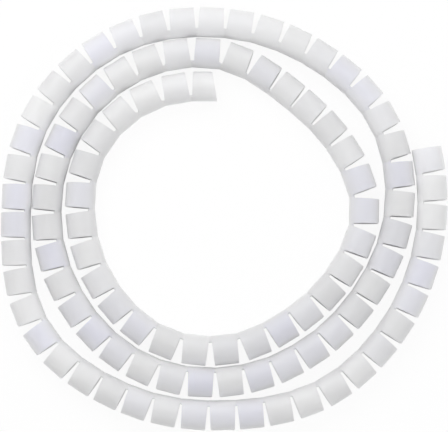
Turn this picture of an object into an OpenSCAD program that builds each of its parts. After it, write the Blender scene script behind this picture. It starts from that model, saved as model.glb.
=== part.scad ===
// Zip-on cable sleeve, lying as a loose flat coil.
// One length of soft plastic tube, split lengthwise on the coil's outer side and
// slotted crosswise, so that a row of C-shaped rings hangs on one spine strip.
// Millimetres. +Z up, the floor is z = 0, the origin is under the middle of the coil.

/* [Sleeve] */
// Outside diameter of the rings
sleeve_od = 22; // [18:0.5:27]
// Wall thickness
wall_t = 1.1; // [0.8:0.1:1.8]
// Number of rings
ring_count = 102; // [60:1:110]
// Length of one ring along the sleeve, at its spine
ring_w = 17.5; // [13:0.1:19]
// How much shorter a ring is at its tips than at its spine
tip_taper = 1; // [0:0.1:1.6]
// Slot between two rings, measured along the spine
slot_w = 2.4; // [2.2:0.05:3.5]
// Part of the circle that the spine strip takes up, degrees
spine_angle = 90; // [60:5:110]
// Gap between the two rows of ring tips
slit_w = 3; // [2:0.5:5]
// Rounding of the ring tips
tip_r = 2.5; // [1:0.5:5]

/* [Coil] */
// Radius of the innermost turn at its free end
coil_r = 97; // [90:0.5:110]

/* [Hidden] */
$fn = 64;
bore_r = sleeve_od / 2 - wall_t;
outer_r = sleeve_od / 2;
spine_r = outer_r - wall_t / 2;
// The strip is a little thinner than the rings on each face, where it has to bend.
strip_thinned = 0.1;
strip_root = 0.8;

// The coil runs anticlockwise. Its radius is known every 30 degrees of turning:
// the first turn as a step from coil_r, each later turn as a gap to the one inside it.
station_step = 30;
turn_stations = 360 / station_step;
start_angle = 93;
first_station_angle = 90;
first_turn = [0, 7.4, 11.4, 7.4, 4.2, 3, -1.6, -6.6, -3.3, 5.2, 4.3, 6.6];
turn_gaps = [
    0.6, 2.3, 0.8, 3.1, 3.3, 2, 1.6, 3.2, 2, 3, 13.4, 12.8,
    2.2, 1.8, 2.7, 0.8, 10.2, 4.1, 2.5, 9.3, 8.3, 2.9, 0.8
];
later_gap = 3;

// The sleeve rolls about its own length as it lies: angle turned, then roll in degrees.
roll_stations = [
    [90, 3], [150, 5], [200, 7], [270, 6], [320, 2], [360, -1], [420, -3],
    [450, 5], [540, 9], [580, 10], [610, 0], [680, -1], [715, 6], [740, 18],
    [780, 18], [830, 13], [870, 9], [910, 1], [1000, 3], [1110, 4]
];

function gap_at(k) = k < len(turn_gaps) ? turn_gaps[k] : later_gap;
function station_r(k) =
    k < 0 ? coil_r + first_turn[0]
    : k < turn_stations ? coil_r + first_turn[k]
    : station_r(k - turn_stations) + sleeve_od + gap_at(k - turn_stations);

// Smooth curve through four stations.
function curve(p, q, r, s, t) =
    q + 0.5 * t * (r - p + t * (2 * p - 5 * q + 4 * r - s + t * (3 * (q - r) + s - p)));
function coil_radius(a) =
    let (u = (a - first_station_angle) / station_step, k = floor(u))
    curve(station_r(k - 1), station_r(k), station_r(k + 1), station_r(k + 2), u - k);
function coil_point(a) = coil_radius(a) * [cos(a), sin(a)];

function heading(from, to) = atan2(to[1] - from[1], to[0] - from[0]);
function turned(a, b) = b - a - 360 * round((b - a) / 360);
function along(p, h, d) = p + d * [cos(h), sin(h)];
function left_of(p, h, d) = along(p, h + 90, d);
function roll_at(a) = lookup(a, roll_stations);

// The strip bends to an even arc across a slot. This is the distance from the sleeve's
// axis to the middle of that arc, such that the strip keeps its own length.
function bend_r(turn, roll) = slot_w / (turn * PI / 180) + spine_r * cos(roll);

// A place is [start of a ring, heading, turn since the ring before, angle about the
// coil's middle]. Each ring aims at the curve, one step ahead.
min_turn = 1.5;
first_place =
    let (p = coil_point(start_angle), step = ring_w / norm(p) * 180 / PI)
    [p, heading(p, coil_point(start_angle + step)), 0, start_angle];

function next_place(place) =
    let (
        ring_end = along(place[0], place[1], ring_w),
        a = place[3] + turned(place[3], atan2(ring_end[1], ring_end[0])),
        aim = coil_point(a + (ring_w + slot_w * 1.5) / norm(ring_end) * 180 / PI),
        turn = max(min_turn, turned(place[1], heading(ring_end, aim))),
        d = bend_r(turn, roll_at(a)),
        pivot = left_of(ring_end, place[1], d)
    )
    [left_of(pivot, place[1] + turn, -d), place[1] + turn, turn, a];

places = [
    for (i = 0, place = first_place; i < ring_count; i = i + 1, place = next_place(place))
        place
];

// The coil is set down with the middle of its plan on the origin.
ring_corners = [
    for (p = places, x = [0, ring_w], side = [-outer_r, outer_r])
        left_of(along(p[0], p[1], x), p[1], side)
];
xs = [for (c = ring_corners) c[0]];
ys = [for (c = ring_corners) c[1]];
plan_middle = [(min(xs) + max(xs)) / 2, (min(ys) + max(ys)) / 2];

// Section of the rings, or of the strip if thinned on both sides.
module wall_section(thinned = 0) {
    difference() {
        circle(r = outer_r - thinned);
        circle(r = bore_r + thinned);
    }
}

// Section of the spine strip. It lies on the -X side and is rolled up from there.
module spine_section(roll) {
    half = spine_angle / 2;
    far = 2 * outer_r;
    intersection() {
        wall_section(strip_thinned);
        rotate(180 - roll)
            polygon([[0, 0], far * [cos(half), -sin(half)], [far, 0], far * [cos(half), sin(half)]]);
    }
}

// One quarter of what the slit takes away, with the rounded tip corner.
module tip_corner() {
    difference() {
        translate([-1, 0])
            square([tip_r + 1, slit_w / 2 + tip_r]);
        translate([tip_r, slit_w / 2 + tip_r])
            circle(r = tip_r);
    }
}

// Plan of the lengthwise slit over one ring.
module slit_plan() {
    translate([-1, -slit_w / 2])
        square([ring_w + 2, slit_w]);
    for (row = [0, 1], end = [0, 1])
        translate([end * ring_w, 0])
            mirror([end, 0])
                mirror([0, row])
                    translate([tip_taper / 2, 0])
                        tip_corner();
}

// Takes away the lengthwise slit, on -Y.
module slit() {
    translate([0, -bore_r / 2, 0])
        rotate([90, 0, 0])
            linear_extrude(outer_r)
                slit_plan();
}

// Plan of a ring. It is a little shorter at the tips, so that the slots are V-shaped.
module ring_plan() {
    side = outer_r + 1;
    cut = tip_taper / 2;
    polygon([[0, side], [ring_w, side], [ring_w - cut, -side], [cut, -side]]);
}

// A C-shaped ring along +X from the origin, spine on +Y, open on -Y.
module ring(roll) {
    rotate([roll, 0, 0])
        difference() {
            intersection() {
                translate([-1, 0, 0])
                    rotate([90, 0, 90])
                        linear_extrude(ring_w + 2)
                            wall_section();
                translate([0, 0, -outer_r - 1])
                    linear_extrude(2 * outer_r + 2)
                        ring_plan();
            }
            slit();
        }
}

// The spine strip across the slot after a ring, bent to the left. It is rooted a
// little way into the rings on both sides.
module link(turn, roll) {
    d = bend_r(turn, roll);
    root = strip_root / d * 180 / PI;
    translate([ring_w, d, 0])
        rotate([0, 0, -90 - root])
            rotate_extrude(angle = turn + 2 * root)
                translate([d, 0])
                    spine_section(roll);
}

// Ring number i with the link to the next ring.
module ring_and_link(i) {
    start = places[i][0] - plan_middle;
    translate([start[0], start[1], outer_r])
        rotate([0, 0, places[i][1]]) {
            ring(roll_at(places[i][3]));
            if (i < ring_count - 1)
                link(places[i + 1][2], roll_at(places[i + 1][3]));
        }
}

module sleeve() {
    color("white")
        for (i = [0 : ring_count - 1])
            ring_and_link(i);
}

sleeve();
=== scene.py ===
"""The looks of a slotted cable sleeve that lies on the floor as a loose flat coil."""

import bisect
import logging
import math
import random
from dataclasses import dataclass, field
from enum import Enum

import bmesh
import bpy
from mathutils import Matrix, Vector


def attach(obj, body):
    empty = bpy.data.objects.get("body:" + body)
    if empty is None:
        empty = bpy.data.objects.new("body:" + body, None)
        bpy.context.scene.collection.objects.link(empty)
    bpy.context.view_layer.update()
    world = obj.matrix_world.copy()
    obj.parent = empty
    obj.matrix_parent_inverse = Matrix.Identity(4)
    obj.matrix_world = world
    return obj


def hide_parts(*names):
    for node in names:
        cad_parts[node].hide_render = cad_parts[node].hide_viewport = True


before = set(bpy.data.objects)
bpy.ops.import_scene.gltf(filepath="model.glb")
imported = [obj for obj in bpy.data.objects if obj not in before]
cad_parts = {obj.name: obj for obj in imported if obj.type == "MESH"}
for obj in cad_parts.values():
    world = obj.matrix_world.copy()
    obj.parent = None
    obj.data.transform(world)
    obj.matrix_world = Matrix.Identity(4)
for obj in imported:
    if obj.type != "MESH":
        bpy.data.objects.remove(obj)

log = logging.getLogger("cable_sleeve")

MM = 0.001
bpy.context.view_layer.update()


# Sizes and route


@dataclass(frozen=True)
class SleeveSizes:
    """Sizes of the sleeve in metres and degrees, as in the part's source."""

    outer_d: float = 22 * MM
    wall: float = 1.1 * MM
    rings: int = 102
    ring_w: float = 17.5 * MM
    tip_taper: float = 1 * MM
    slot_w: float = 2.4 * MM
    spine_angle: float = 90
    slit_w: float = 3 * MM
    tip_r: float = 2.5 * MM
    # The taper runs over the ring's width and this much more on each side.
    taper_margin: float = 1 * MM
    # The spine strip's thickness where it bends, as a share of the wall.
    strip_share: float = 0.82

    @property
    def outer_r(self) -> float:
        """Returns the outside radius of a ring."""
        return self.outer_d / 2

    @property
    def mid_r(self) -> float:
        """Returns the radius of the middle of the wall."""
        return self.outer_r - self.wall / 2


@dataclass(frozen=True)
class Place:
    """Where one ring lies: its start, heading and roll, in metres and degrees."""

    start: Vector
    heading: float
    roll: float


@dataclass
class CoilRoute:
    """The sleeve's route over the floor, repeated from the part's source.

    As there, its own lengths are in millimetres and its angles in degrees.
    """

    sizes: SleeveSizes
    coil_r: float = 97
    start_angle: float = 93
    first_station_angle: float = 90
    station_step: float = 30
    # The least turn from one ring to the next.
    min_turn: float = 1.5
    # A ring is aimed at the curve, its own length and this many slots ahead.
    aim_slots: float = 1.5
    # Radius at each station of the first turn, as a step from coil_r.
    first_turn: tuple[float, ...] = (0, 7.4, 11.4, 7.4, 4.2, 3, -1.6, -6.6, -3.3, 5.2, 4.3, 6.6)
    # Radius at each later station, as a gap to the turn inside.
    turn_gaps: tuple[float, ...] = (
        0.6, 2.3, 0.8, 3.1, 3.3, 2, 1.6, 3.2, 2, 3, 13.4, 12.8,
        2.2, 1.8, 2.7, 0.8, 10.2, 4.1, 2.5, 9.3, 8.3, 2.9, 0.8,
    )
    later_gap: float = 3
    # Angle turned, then the sleeve's roll there.
    rolls: tuple[tuple[float, float], ...] = (
        (90, 3), (150, 5), (200, 7), (270, 6), (320, 2), (360, -1), (420, -3),
        (450, 5), (540, 9), (580, 10), (610, 0), (680, -1), (715, 6), (740, 18),
        (780, 18), (830, 13), (870, 9), (910, 1), (1000, 3), (1110, 4),
    )

    def station_r(self, k: int) -> float:
        """Finds the radius of one station.

        Args:
            k: The station's number, from the inner end.

        Returns:
            The radius in millimetres.
        """
        if k < 0:
            return self.coil_r + self.first_turn[0]
        per_turn = len(self.first_turn)
        if k < per_turn:
            return self.coil_r + self.first_turn[k]
        i = k - per_turn
        gap = self.turn_gaps[i] if i < len(self.turn_gaps) else self.later_gap
        return self.station_r(i) + self.sizes.outer_d / MM + gap

    def point(self, angle: float) -> Vector:
        """Finds a point of the coil's centreline.

        Args:
            angle: Degrees turned about the coil's middle.

        Returns:
            The point in plan, in metres.
        """
        u = (angle - self.first_station_angle) / self.station_step
        k = math.floor(u)
        p, q, r, s = (self.station_r(k + j) for j in (-1, 0, 1, 2))
        t = u - k
        bend = 2 * p - 5 * q + 4 * r - s + t * (3 * (q - r) + s - p)
        radius = (q + 0.5 * t * (r - p + t * bend)) * MM
        a = math.radians(angle)
        return Vector((radius * math.cos(a), radius * math.sin(a)))

    def roll(self, angle: float) -> float:
        """Finds how far the sleeve is rolled about its own length.

        Args:
            angle: Degrees turned about the coil's middle.

        Returns:
            The roll in degrees.
        """
        angles = [a for a, _ in self.rolls]
        i = bisect.bisect_right(angles, angle)
        if i == 0:
            return self.rolls[0][1]
        if i == len(angles):
            return self.rolls[-1][1]
        (a0, r0), (a1, r1) = self.rolls[i - 1], self.rolls[i]
        return r0 + (r1 - r0) * (angle - a0) / (a1 - a0)

    def places(self) -> list[Place]:
        """Walks the sleeve ring by ring along the route.

        Returns:
            One place a ring, with the plan's middle on the origin.
        """
        sizes = self.sizes
        p = self.point(self.start_angle)
        step = math.degrees(sizes.ring_w / p.length)
        heading = bearing(p, self.point(self.start_angle + step))
        angle = self.start_angle
        found = [(p, heading, self.roll(angle))]
        for _ in range(sizes.rings - 1):
            end = p + ahead(heading) * sizes.ring_w
            angle += turned(angle, math.degrees(math.atan2(end.y, end.x)))
            reach = math.degrees((sizes.ring_w + sizes.slot_w * self.aim_slots) / end.length)
            aim = self.point(angle + reach)
            turn = max(self.min_turn, turned(heading, bearing(end, aim)))
            roll = self.roll(angle)
            d = sizes.slot_w / math.radians(turn) + sizes.mid_r * math.cos(math.radians(roll))
            pivot = end + ahead(heading + 90) * d
            heading += turn
            p = pivot - ahead(heading + 90) * d
            found.append((p, heading, roll))
        middle = self.plan_middle(found)
        return [Place(start - middle, h, r) for start, h, r in found]

    def plan_middle(self, found: list[tuple[Vector, float, float]]) -> Vector:
        """Finds the middle of the plan of all rings.

        Args:
            found: Start, heading and roll of each ring.

        Returns:
            The middle of the box around the rings, in metres.
        """
        corners = [
            p + ahead(h) * x + ahead(h + 90) * side
            for p, h, _ in found
            for x in (0, self.sizes.ring_w)
            for side in (-self.sizes.outer_r, self.sizes.outer_r)
        ]
        xs, ys = [c.x for c in corners], [c.y for c in corners]
        return Vector(((min(xs) + max(xs)) / 2, (min(ys) + max(ys)) / 2))


def ahead(heading: float) -> Vector:
    """Returns the unit vector of a heading given in degrees."""
    a = math.radians(heading)
    return Vector((math.cos(a), math.sin(a)))


def bearing(start: Vector, end: Vector) -> float:
    """Returns the heading from one point to another, in degrees."""
    return math.degrees(math.atan2(end.y - start.y, end.x - start.x))


def turned(a: float, b: float) -> float:
    """Returns the turn from heading a to heading b, from -180 to 180 degrees."""
    return b - a - 360 * round((b - a) / 360)


# Node helpers


class Nodes:
    """Short calls for building one node tree."""

    def __init__(self, tree: bpy.types.NodeTree) -> None:
        """Keeps the tree that is being built."""
        self.tree = tree

    def add(self, kind: str, **values: object) -> bpy.types.Node:
        """Adds a node.

        Args:
            kind: The node's type name.
            values: Properties of the node, set by name.

        Returns:
            The new node.
        """
        node = self.tree.nodes.new(kind)
        for name, value in values.items():
            setattr(node, name, value)
        return node

    def join(self, source: bpy.types.NodeSocket, target: bpy.types.NodeSocket) -> None:
        """Links one socket to another."""
        self.tree.links.new(source, target)

    def noise(self, place: bpy.types.NodeSocket, detail: float) -> bpy.types.Node:
        """Adds a noise texture.

        Args:
            place: Socket with the point to look up.
            detail: How many finer layers the noise has.

        Returns:
            The texture's node.
        """
        node = self.add("ShaderNodeTexNoise")
        node.inputs["Detail"].default_value = detail
        self.join(place, node.inputs["Vector"])
        return node

    def seen(self) -> bpy.types.NodeSocket:
        """Picks out what the camera sees, also in a mirror or through glass.

        Returns:
            A socket that is 1 for those rays and 0 for the light on the object.
        """
        path = self.add("ShaderNodeLightPath")
        socket = path.outputs["Is Camera Ray"]
        for ray in ("Is Glossy Ray", "Is Transmission Ray"):
            total = self.add("ShaderNodeMath", operation="ADD", use_clamp=True)
            self.join(socket, total.inputs[0])
            self.join(path.outputs[ray], total.inputs[1])
            socket = total.outputs[0]
        return socket


def set_inputs(node: bpy.types.Node, values: dict[str, object]) -> None:
    """Sets inputs of a node.

    Args:
        node: The node.
        values: Input name to value.
    """
    for name, value in values.items():
        node.inputs[name].default_value = value


def new_group(
    name: str, inputs: dict[str, str], outputs: dict[str, str]
) -> bpy.types.NodeTree:
    """Makes an empty shader node group.

    Args:
        name: The group's name.
        inputs: Socket name to socket type.
        outputs: Socket name to socket type.

    Returns:
        The group, with its input and output nodes in place.
    """
    tree = bpy.data.node_groups.new(name, "ShaderNodeTree")
    for label, kind in inputs.items():
        tree.interface.new_socket(label, in_out="INPUT", socket_type=kind)
    for label, kind in outputs.items():
        tree.interface.new_socket(label, in_out="OUTPUT", socket_type=kind)
    tree.nodes.new("NodeGroupInput")
    tree.nodes.new("NodeGroupOutput")
    return tree


def group_ends(tree: bpy.types.NodeTree) -> tuple[bpy.types.Node, bpy.types.Node]:
    """Returns the input node and the output node of a group."""
    return tree.nodes["Group Input"], tree.nodes["Group Output"]


# Finishes

FLOAT, COLOUR = "NodeSocketFloat", "NodeSocketColor"
WHITE = (1, 1, 1, 1)

# Noise between these two values gives the clouding its full range of tone.
CLOUD_SPAN = (0.3, 0.7)
CLOUD_ROUGHNESS = 0.55
# How much of the surface's bump is fine grain, beside its slow waves.
GRAIN_SHARE = 0.15
# A colour mix node's inputs and output: its sockets of other kinds share their names.
MIX_A, MIX_B, MIX_RESULT = 6, 7, 2


class Effect(Enum):
    """Shared surface effects, each a node group."""

    CLOUDING = "clouding"
    GRAIN = "moulded_grain"


def clouding_group() -> bpy.types.NodeTree:
    """Makes the group for soft patches of tone in a milky plastic.

    Returns:
        A group that mixes two colours by slow noise and by each ring's own tone, and
        draws them towards a third by each ring's tint with a painted sheen: a painted
        reflection of the light from above, laid on the ring's top.
    """
    tree = new_group(
        Effect.CLOUDING.value,
        {"Light": COLOUR, "Deep": COLOUR, "Tint": COLOUR, "Scale": FLOAT, "Ring Share": FLOAT},
        {"Color": COLOUR},
    )
    n = Nodes(tree)
    given, out = group_ends(tree)
    place = n.add("ShaderNodeTexCoord")
    noise = n.noise(place.outputs["Object"], detail=3)
    noise.inputs["Roughness"].default_value = CLOUD_ROUGHNESS
    n.join(given.outputs["Scale"], noise.inputs["Scale"])
    spread = n.add("ShaderNodeMapRange", clamp=True)
    low, high = CLOUD_SPAN
    set_inputs(spread, {"From Min": low, "From Max": high})
    n.join(noise.outputs["Fac"], spread.inputs["Value"])
    tone = n.add("ShaderNodeAttribute", attribute_name="ring_tone")
    blend = n.add("ShaderNodeMix", data_type="FLOAT")
    n.join(given.outputs["Ring Share"], blend.inputs["Factor"])
    n.join(spread.outputs["Result"], blend.inputs["A"])
    n.join(tone.outputs["Fac"], blend.inputs["B"])
    mix = n.add("ShaderNodeMix", data_type="RGBA")
    n.join(blend.outputs["Result"], mix.inputs["Factor"])
    n.join(given.outputs["Light"], mix.inputs[MIX_A])
    n.join(given.outputs["Deep"], mix.inputs[MIX_B])
    # Painted sheen: each ring's random tint, strongest at its top, paints a reflection of the
    # light from above.
    tint_and_sheen = n.add("ShaderNodeAttribute", attribute_name="ring_tint_and_sheen")
    tinted_and_sheened = n.add("ShaderNodeMix", data_type="RGBA")
    n.join(tint_and_sheen.outputs["Fac"], tinted_and_sheened.inputs["Factor"])
    n.join(mix.outputs[MIX_RESULT], tinted_and_sheened.inputs[MIX_A])
    n.join(given.outputs["Tint"], tinted_and_sheened.inputs[MIX_B])
    n.join(tinted_and_sheened.outputs[MIX_RESULT], out.inputs["Color"])
    return tree


def grain_group() -> bpy.types.NodeTree:
    """Makes the group for the faint unevenness of an extruded surface.

    Returns:
        A group that gives a bump height and a roughness.
    """
    tree = new_group(
        Effect.GRAIN.value,
        {"Wave Scale": FLOAT, "Grain Scale": FLOAT, "Rough Low": FLOAT, "Rough High": FLOAT},
        {"Height": FLOAT, "Roughness": FLOAT},
    )
    n = Nodes(tree)
    given, out = group_ends(tree)
    place = n.add("ShaderNodeTexCoord")
    wave, grain = (n.noise(place.outputs["Object"], detail=2) for _ in range(2))
    for node, scale in ((wave, "Wave Scale"), (grain, "Grain Scale")):
        n.join(given.outputs[scale], node.inputs["Scale"])
    total = n.add("ShaderNodeMath", operation="MULTIPLY_ADD")
    total.inputs[1].default_value = GRAIN_SHARE
    n.join(grain.outputs["Fac"], total.inputs[0])
    n.join(wave.outputs["Fac"], total.inputs[2])
    n.join(total.outputs[0], out.inputs["Height"])
    rough = n.add("ShaderNodeMapRange", clamp=True)
    n.join(wave.outputs["Fac"], rough.inputs["Value"])
    n.join(given.outputs["Rough Low"], rough.inputs["To Min"])
    n.join(given.outputs["Rough High"], rough.inputs["To Max"])
    n.join(rough.outputs["Result"], out.inputs["Roughness"])
    return tree


@dataclass(frozen=True)
class MilkyPlastic:
    """White, slightly see-through soft plastic."""

    name: str = "milky_plastic"
    light: tuple[float, ...] = (0.962, 0.962, 0.963, 1)
    deep: tuple[float, ...] = (0.765, 0.765, 0.775, 1)
    # Lavender painted sheen: a painted reflection of the light from above, laid on the tops of
    # some rings.
    tint_and_sheen: tuple[float, ...] = (0.78, 0.78, 0.98, 1)
    cloud_scale: float = 16
    # How much of the tone comes from each ring, beside the clouding.
    ring_share: float = 0.6
    wave_scale: float = 160
    grain_scale: float = 1500
    rough_low: float = 0.38
    rough_high: float = 0.52
    glow: float = 0.8
    glow_reach: tuple[float, ...] = (1.0, 1.0, 1.0)
    glow_scale: float = 0.006
    ior: float = 1.5
    bump: float = 0.12
    bump_depth: float = 0.00025

    def build(self, groups: dict[Effect, bpy.types.NodeTree]) -> bpy.types.Material:
        """Makes the material.

        Args:
            groups: Node group for each effect.

        Returns:
            The finished material.
        """
        material = bpy.data.materials.new(self.name)
        material.use_nodes = True
        n = Nodes(material.node_tree)
        shader = material.node_tree.nodes["Principled BSDF"]
        cloud = n.add("ShaderNodeGroup", node_tree=groups[Effect.CLOUDING])
        set_inputs(cloud, {
            "Light": self.light,
            "Deep": self.deep,
            "Tint": self.tint_and_sheen,
            "Scale": self.cloud_scale,
            "Ring Share": self.ring_share,
        })
        grain = n.add("ShaderNodeGroup", node_tree=groups[Effect.GRAIN])
        set_inputs(grain, {
            "Wave Scale": self.wave_scale,
            "Grain Scale": self.grain_scale,
            "Rough Low": self.rough_low,
            "Rough High": self.rough_high,
        })
        bump = n.add("ShaderNodeBump")
        set_inputs(bump, {"Strength": self.bump, "Distance": self.bump_depth})
        set_inputs(shader, {
            "IOR": self.ior,
            "Subsurface Weight": self.glow,
            "Subsurface Radius": self.glow_reach,
            "Subsurface Scale": self.glow_scale,
        })
        n.join(grain.outputs["Height"], bump.inputs["Height"])
        n.join(bump.outputs["Normal"], shader.inputs["Normal"])
        n.join(cloud.outputs["Color"], shader.inputs["Base Color"])
        n.join(grain.outputs["Roughness"], shader.inputs["Roughness"])
        return material


@dataclass(frozen=True)
class PaleFloor:
    """Plain white floor that keeps a soft shadow."""

    name: str = "pale_floor"
    colour: tuple[float, ...] = (0.95, 0.95, 0.95, 1)
    # How much of what the camera sees is plain white, beside the lit floor.
    shown_white: float = 0.92

    def build(self) -> bpy.types.Material:
        """Makes the material: partly white by itself where the camera or a mirror sees it.

        Returns:
            The finished material.
        """
        material = bpy.data.materials.new(self.name)
        material.use_nodes = True
        tree = material.node_tree
        tree.nodes.clear()
        n = Nodes(tree)
        out = n.add("ShaderNodeOutputMaterial")
        lit = n.add("ShaderNodeBsdfDiffuse")
        set_inputs(lit, {"Color": self.colour})
        white = n.add("ShaderNodeEmission")
        set_inputs(white, {"Color": WHITE, "Strength": 1.0})
        share = n.add("ShaderNodeMath", operation="MULTIPLY")
        share.inputs[1].default_value = self.shown_white
        n.join(n.seen(), share.inputs[0])
        mix = n.add("ShaderNodeMixShader")
        n.join(share.outputs[0], mix.inputs[0])
        n.join(lit.outputs[0], mix.inputs[1])
        n.join(white.outputs[0], mix.inputs[2])
        n.join(mix.outputs[0], out.inputs["Surface"])
        return material


# The sleeve


@dataclass
class Sleeve:
    """The slotted sleeve: C-shaped rings that hang on one spine strip."""

    sizes: SleeveSizes
    route: CoilRoute
    finish: bpy.types.Material
    seed: int = 7
    # Steps round the section, along a ring and across a slot.
    spine_steps: int = 8
    side_steps: int = 10
    tip_steps: int = 5
    ring_steps: int = 4
    strip_steps: int = 3
    # The most that a single ring turns and rolls from its place, in degrees.
    yaw_spread: float = 0.7
    roll_spread: float = 2.2
    # The higher, the fewer the rings with a strong tint and painted sheen.
    tint_and_sheen_rarity: float = 3.2
    # How quickly the tint, a painted reflection of the light from above, fades from the top of a
    # ring down its sides.
    sheen_fade: float = 2
    # How much longer a ring is than in the solids, half of it into each slot.
    ring_grown: float = 1.2 * MM
    # How much further the sleeve's inner end is cut back at its tips than at its spine.
    end_slant: float = 3 * MM
    bevel: float = 0.22 * MM
    bevel_steps: int = 2
    # Edges sharper than this are rounded, in degrees.
    bevel_over: float = 50

    def section_angles(self) -> list[float]:
        """Lists the section's angles from one row of tips round to the other.

        Returns:
            Degrees from the middle of the spine, close together at the tips.
        """
        half = self.sizes.spine_angle / 2
        edge = 180 - math.degrees(self.sizes.slit_w / 2 / self.sizes.mid_r)
        corner = edge - math.degrees(self.sizes.tip_r / self.sizes.mid_r)
        side = [half + (corner - half) * i / self.side_steps for i in range(1, self.side_steps)]
        swing = [math.radians(90 * i / self.tip_steps) for i in range(self.tip_steps + 1)]
        tip = [corner + (edge - corner) * math.sin(s) for s in swing]
        spine = [-half + 2 * half * i / self.spine_steps for i in range(self.spine_steps + 1)]
        upper = side + tip
        return [-a for a in reversed(upper)] + spine + upper

    def inset(self, angle: float) -> float:
        """Finds how far a ring's end is drawn in by its taper and its round corner.

        Args:
            angle: Section angle in degrees from the middle of the spine.

        Returns:
            The distance along the ring, in metres.
        """
        sizes = self.sizes
        side = sizes.outer_r + sizes.taper_margin
        down = side - sizes.mid_r * math.cos(math.radians(angle))
        taper = sizes.tip_taper / 2 * down / (2 * side)
        reach = math.radians(180 - abs(angle)) * sizes.mid_r - sizes.slit_w / 2
        short = max(sizes.tip_r - reach, 0)
        corner = sizes.tip_r - math.sqrt(max(sizes.tip_r ** 2 - short ** 2, 0))
        return taper + corner

    def ring_ends(self, number: int, angle: float) -> tuple[float, float]:
        """Finds where one ring starts and ends along its length.

        The rings reach a little into the slots, as the photograph shows them, but not
        past the sleeve's two ends. The inner end is cut at a slant.

        Args:
            number: The ring's number, from the inner end.
            angle: Section angle in degrees from the middle of the spine.

        Returns:
            Start and end along the ring, in metres.
        """
        cut = self.inset(angle)
        start, end = cut, self.sizes.ring_w - cut
        if number == 0:
            start += self.end_slant * (1 - math.cos(math.radians(angle))) / 2
        else:
            start -= self.ring_grown / 2
        if number < self.sizes.rings - 1:
            end += self.ring_grown / 2
        return start, end

    def ring_points(
        self, number: int, place: Place, yaw: float, roll: float
    ) -> list[list[Vector]]:
        """Lays out the middle surface of one ring.

        Args:
            number: The ring's number, from the inner end.
            place: Where the ring lies.
            yaw: Small turn of the ring about its own middle, in degrees.
            roll: Small roll added to the place's own, in degrees.

        Returns:
            Rows of points along the ring, one row a section angle.
        """
        w = self.sizes.ring_w
        to_place = (
            Matrix.Translation((place.start.x, place.start.y, self.sizes.outer_r))
            @ Matrix.Rotation(math.radians(place.heading), 4, "Z")
            @ Matrix.Translation((w / 2, 0, 0))
            @ Matrix.Rotation(math.radians(yaw), 4, "Z")
            @ Matrix.Translation((-w / 2, 0, 0))
        )
        rows = []
        for angle in self.section_angles():
            a = math.radians(angle + place.roll + roll)
            side = self.sizes.mid_r * Vector((0, math.cos(a), math.sin(a)))
            start, end = self.ring_ends(number, angle)
            xs = [start + (end - start) * i / self.ring_steps for i in range(self.ring_steps + 1)]
            rows.append([to_place @ (side + Vector((x, 0, 0))) for x in xs])
        return rows

    def build(self) -> bpy.types.Object:
        """Builds the sleeve.

        Returns:
            The sleeve's object, with its wall and rounded edges as modifiers.
        """
        rng = random.Random(self.seed)
        mesh = bmesh.new()
        tone_of = mesh.verts.layers.float.new("ring_tone")
        tint_and_sheen_of = mesh.verts.layers.float.new("ring_tint_and_sheen")
        deform = mesh.verts.layers.deform.verify()
        spine = self.spine_rows()
        last_edge = None
        for number, place in enumerate(self.route.places()):
            yaw = rng.uniform(-self.yaw_spread, self.yaw_spread)
            roll = rng.uniform(-self.roll_spread, self.roll_spread)
            tone, tint_and_sheen = rng.random(), rng.random() ** self.tint_and_sheen_rarity
            rows = [
                [mesh.verts.new(p) for p in row]
                for row in self.ring_points(number, place, yaw, roll)
            ]
            self.fill(mesh, rows)
            for row in rows:
                for vert in row:
                    vert[tone_of] = tone
                    # Painted sheen: the ring's random tint is laid on most where the wall faces
                    # up towards the light, and fades down its sides.
                    vert[tint_and_sheen_of] = tint_and_sheen * self.facing_up(vert.co) ** self.sheen_fade
                    vert[deform][0] = 1.0
            if last_edge:
                edge = [rows[i][0] for i in spine]
                self.strip(mesh, last_edge, edge, (tone_of, tint_and_sheen_of), deform)
            last_edge = [rows[i][-1] for i in spine]
        data = bpy.data.meshes.new("cable_sleeve")
        mesh.to_mesh(data)
        mesh.free()
        return self.dress(data)

    def dress(self, data: bpy.types.Mesh) -> bpy.types.Object:
        """Gives the sleeve its finish, its wall and its rounded edges.

        Args:
            data: Mesh of the middle of the wall.

        Returns:
            The sleeve's object.
        """
        piece = bpy.data.objects.new("cable_sleeve", data)
        bpy.context.collection.objects.link(piece)
        piece.vertex_groups.new(name="wall")
        data.materials.append(self.finish)
        for face in data.polygons:
            face.use_smooth = True
        wall = piece.modifiers.new("wall", "SOLIDIFY")
        wall.thickness = self.sizes.wall
        wall.offset = 0
        wall.vertex_group = "wall"
        wall.use_even_offset = True
        edges = piece.modifiers.new("edges", "BEVEL")
        edges.width = self.bevel
        edges.segments = self.bevel_steps
        edges.limit_method = "ANGLE"
        edges.angle_limit = math.radians(self.bevel_over)
        edges.harden_normals = True
        return piece

    def facing_up(self, point: Vector) -> float:
        """Returns how far the wall faces up at a point, from 0 at its sides to 1."""
        return max((point.z - self.sizes.outer_r) / self.sizes.mid_r, 0.0)

    def spine_rows(self) -> range:
        """Returns the numbers of the section angles that the spine takes up."""
        first = self.side_steps + self.tip_steps
        return range(first, first + self.spine_steps + 1)

    @staticmethod
    def fill(mesh: bmesh.types.BMesh, rows: list[list[bmesh.types.BMVert]]) -> None:
        """Fills a grid of points with four-sided faces.

        Args:
            mesh: The mesh being built.
            rows: Vertices of the grid, row by row.
        """
        for a, b in zip(rows, rows[1:]):
            for i in range(len(a) - 1):
                mesh.faces.new((a[i], b[i], b[i + 1], a[i + 1]))

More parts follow.
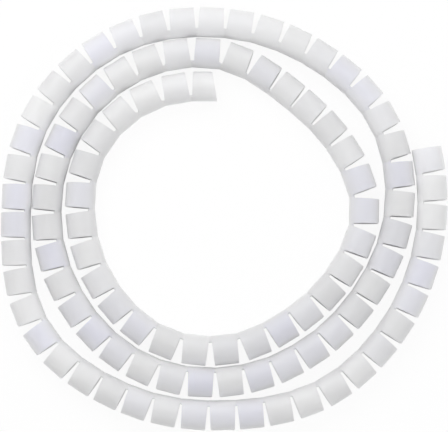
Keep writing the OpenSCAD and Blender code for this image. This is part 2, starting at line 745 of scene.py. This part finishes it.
    def strip(
        self,
        mesh: bmesh.types.BMesh,
        start: list[bmesh.types.BMVert],
        end: list[bmesh.types.BMVert],
        looks: tuple[bmesh.types.BMLayerItem, ...],
        deform: bmesh.types.BMLayerItem,
    ) -> None:
        """Joins two rings by the spine strip, which is thinner where it bends.

        Args:
            mesh: The mesh being built.
            start: Edge points of the ring before.
            end: Edge points of the ring after.
            looks: Layers for the rings' tone and their tint with its painted sheen.
            deform: Layer for the wall's thickness.
        """
        rows = []
        for a, b in zip(start, end):
            row = [a]
            for i in range(1, self.strip_steps):
                t = i / self.strip_steps
                vert = mesh.verts.new(a.co.lerp(b.co, t))
                for look in looks:
                    vert[look] = a[look] + (b[look] - a[look]) * t
                vert[deform][0] = self.sizes.strip_share
                row.append(vert)
            rows.append(row + [b])
        self.fill(mesh, rows)


# Stage


class Role(Enum):
    """What each lamp is for."""

    KEY = "key_lamp"
    FILL = "fill_lamp"
    RETURN = "return_lamp"


@dataclass(frozen=True)
class Lamp:
    """One soft square lamp that points at the middle of the coil."""

    role: Role
    position: tuple[float, float, float]
    size: float
    watts: float

    def build(self) -> None:
        """Makes the lamp and points it at the object."""
        light = bpy.data.lights.new(self.role.value, "AREA")
        light.shape = "SQUARE"
        light.size = self.size
        light.energy = self.watts
        lamp = bpy.data.objects.new(self.role.value, light)
        bpy.context.collection.objects.link(lamp)
        lamp.location = self.position
        lamp.rotation_euler = (-Vector(self.position)).to_track_quat("-Z", "Y").to_euler()


@dataclass
class Studio:
    """Floor, soft lamps and plain surrounding light."""

    floor_finish: PaleFloor = field(default_factory=PaleFloor)
    floor_half: float = 4.0
    around: float = 0.68
    lamps: tuple[Lamp, ...] = (
        Lamp(Role.KEY, (-0.38, 0.7, 0.85), 0.8, 4.9),
        Lamp(Role.FILL, (-0.1, 0.35, 0.9), 0.9, 0.9),
        Lamp(Role.RETURN, (1.3, -0.3, 0.85), 1.1, 2.9),
    )

    def build(self) -> None:
        """Makes the floor, the lamps and the world."""
        self.build_floor()
        for lamp in self.lamps:
            lamp.build()
        self.build_world()

    def build_floor(self) -> None:
        """Makes the floor, which is no part of the object."""
        h = self.floor_half
        data = bpy.data.meshes.new("floor")
        data.from_pydata([(-h, -h, 0), (h, -h, 0), (h, h, 0), (-h, h, 0)], [], [(0, 1, 2, 3)])
        floor = bpy.data.objects.new("floor", data)
        bpy.context.collection.objects.link(floor)
        data.materials.append(self.floor_finish.build())

    def build_world(self) -> None:
        """Makes the even light all round, which the camera sees as plain white."""
        world = bpy.data.worlds.new("surroundings")
        world.use_nodes = True
        back = world.node_tree.nodes["Background"]
        n = Nodes(world.node_tree)
        level = n.add("ShaderNodeMapRange")
        set_inputs(level, {"To Min": self.around, "To Max": 1.0})
        n.join(n.seen(), level.inputs["Value"])
        n.join(level.outputs["Result"], back.inputs["Strength"])
        set_inputs(back, {"Color": WHITE})
        bpy.context.scene.world = world


@dataclass(frozen=True)
class Viewpoint:
    """The photograph's view: from almost straight above."""

    elevation: float = 87.5
    lens: float = 250
    sensor: float = 36
    # Width and height of the photograph, and where the coil's middle lies in it.
    picture: tuple[int, int] = (448, 432)
    middle_px: tuple[float, float] = (224.2, 218.2)
    metres_per_px: float = 0.7327 * MM
    # Height of the sleeve's axis above the floor.
    axis_height: float = 11 * MM
    clip: tuple[float, float] = (0.05, 50)

    def build(self) -> None:
        """Makes the camera and aims it so that the coil falls where the photograph has it."""
        camera = bpy.data.cameras.new("camera")
        camera.lens = self.lens
        camera.sensor_width = self.sensor
        eye = bpy.data.objects.new("camera", camera)
        bpy.context.collection.objects.link(eye)
        e = math.radians(self.elevation)
        away = Vector((0, -math.cos(e), math.sin(e)))
        up = Vector((0, math.sin(e), math.cos(e)))
        width = self.picture[0] * self.metres_per_px
        distance = width * self.lens / self.sensor
        dx = (self.picture[0] / 2 - self.middle_px[0]) * self.metres_per_px
        dy = (self.middle_px[1] - self.picture[1] / 2) * self.metres_per_px
        target = Vector((dx, 0, self.axis_height)) + up * dy
        eye.location = target + away * distance
        eye.rotation_euler = (-away).to_track_quat("-Z", "Y").to_euler()
        camera.clip_start, camera.clip_end = self.clip
        bpy.context.scene.camera = eye


def main() -> None:
    """Builds the view, the studio and the sleeve."""
    logging.basicConfig(level=logging.INFO)
    bpy.context.scene.view_settings.view_transform = "Standard"
    Viewpoint().build()
    Studio().build()
    groups = {Effect.CLOUDING: clouding_group(), Effect.GRAIN: grain_group()}
    sizes = SleeveSizes()
    sleeve = Sleeve(sizes, CoilRoute(sizes), MilkyPlastic().build(groups)).build()
    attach(sleeve, "root")
    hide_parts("sleeve")
    log.info("sleeve: %d rings, %d faces", sizes.rings, len(sleeve.data.polygons))


if __name__ == "__main__":
    main()
